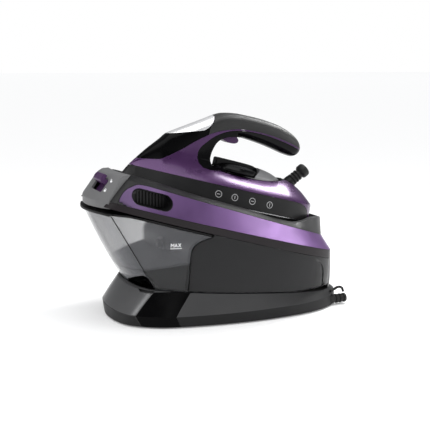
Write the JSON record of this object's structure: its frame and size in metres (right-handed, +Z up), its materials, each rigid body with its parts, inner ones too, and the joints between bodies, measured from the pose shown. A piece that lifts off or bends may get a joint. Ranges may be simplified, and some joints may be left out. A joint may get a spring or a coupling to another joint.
{
  "type": "steam generator iron",
  "caption": "Steam station with a pull-out water tank, lock slider and sloping rest deck, and a steam iron with an open-ended handle, trigger and dial parked on it.",
  "frame": {"origin": "on the floor, at the middle of the bounding box footprint", "axes": "+Z up, -X towards the nose of the station and of the iron, +Y to the left side seen from the nose"},
  "size_m": [0.364, 0.206, 0.269],
  "materials": {
    "gloss_black": "high gloss",
    "toe_grey": "metallic paint, satin",
    "dark_grey": "satin",
    "black": "satin",
    "rubber": "matt",
    "smoke": "clear, smoke tinted, polished",
    "grey": "matt",
    "lilac": "satin",
    "belt_grey": "satin",
    "purple": "pearl, glossy",
    "steel": "brushed",
    "aluminium": "cast",
    "brass": "machined",
    "board_green": "solder mask",
    "soft_grip": "soft touch",
    "silver": "silver paint, polished",
    "platform_grey": "satin"
  },
  "bodies": {
    "base": {"corner_panel_right": "gloss_black", "corner_panel_left": "gloss_black", "toe_panel": "toe_grey", "plinth": "dark_grey", "toe_tray": "gloss_black", "base_plate": "black", "foot_front_right": "rubber", "foot_front_left": "rubber", "foot_rear_right": "rubber", "foot_rear_left": "rubber", "tank_dock": "black", "inner_housing": "dark_grey", "side_cover_right": "smoke", "side_cover_left": "smoke", "rear_cover": "dark_grey", "front_bezel": "grey", "slot_liner": "black", "belt_trim": "belt_grey", "side_band_right": "purple", "side_band_left": "purple", "deck_cover": "black", "grip_recess_right": "black", "grip_recess_left": "black", "rest_mat": "rubber", "cord_boot": "rubber", "hose_boot": "rubber", "cord_hook": "black", "boiler_cradle": "steel", "boiler": "aluminium", "boiler_heater": "steel", "pump": "black", "solenoid_valve": "brass", "control_board": "board_green", "water_pipe": "rubber", "steam_pipe": "brass"},
    "iron": {"soleplate": "steel", "heat_skirt": "dark_grey", "grip_lower": "gloss_black", "grip_upper": "soft_grip", "top_cap": "silver", "nose_cover": "gloss_black", "body_shell": "purple", "heel_plate": "black", "dial_platform": "platform_grey", "hose_collar": "black", "steam_chamber": "aluminium", "sole_thermostat": "steel", "microswitch": "black", "steam_tube": "rubber"},
    "tank": {"water_tank": "smoke", "tank_base": "dark_grey", "tank_lid": "dark_grey", "tank_valve": "black"},
    "lock_slider": {"lock_slider": "lilac"},
    "lock_hook": {"lock_hook": "steel"},
    "filler_flap": {"filler_flap": "black"},
    "trigger": {"trigger": "lilac"},
    "dial": {"dial_knob": "gloss_black"},
    "strain_relief": {"strain_relief": "rubber"},
    "power_switch": {"power_switch": "black"}
  },
  "joints": [
    {"name": "iron_lift", "type": "slide", "parent": "base", "child": "iron", "axis": [0.2504, 0, 0.9681], "range_m": [0, 0.12]},
    {"name": "tank_pull", "type": "slide", "parent": "base", "child": "tank", "axis": [-0.995, 0, 0.0995], "range_m": [0, 0.17]},
    {"name": "lock_slide", "type": "slide", "parent": "base", "child": "lock_slider", "axis": [-0.6094, 0, -0.7929], "range_m": [0, 0.01]},
    {"name": "hook_slide", "type": "slide", "parent": "base", "child": "lock_hook", "axis": [1, 0, 0], "range_m": [0, 0.007]},
    {"name": "flap_hinge", "type": "hinge", "parent": "tank", "child": "filler_flap", "pos_m": [-0.11415, 0, 0.14], "axis": [0, -1, 0], "range_deg": [0, 60], "stiffness_Nm_per_rad": 0.02, "springref_deg": -11.46},
    {"name": "trigger_press", "type": "hinge", "parent": "iron", "child": "trigger", "pos_m": [0.01437, 0, 0.2459], "axis": [0, -1, 0], "range_deg": [0, 7], "stiffness_Nm_per_rad": 1, "springref_deg": -2.86},
    {"name": "dial_turn", "type": "hinge", "parent": "iron", "child": "dial", "pos_m": [0.03377, 0, 0.18511], "axis": [0.2504, 0, 0.9681], "range_deg": [-140, 140]},
    {"name": "hose_swivel", "type": "hinge", "parent": "iron", "child": "strain_relief", "pos_m": [0.12447, 0, 0.16836], "axis": [0.8228, 0, 0.5683], "range_deg": [-175, 175]},
    {"name": "switch_rock", "type": "hinge", "parent": "base", "child": "power_switch", "pos_m": [0.16645, 0, 0.039], "axis": [0, 1, 0], "range_deg": [-6, 6]}
  ],
  "couplings": [
    {"joint": "hook_slide", "follows": "lock_slide", "ratio": 0.7}
  ]
}
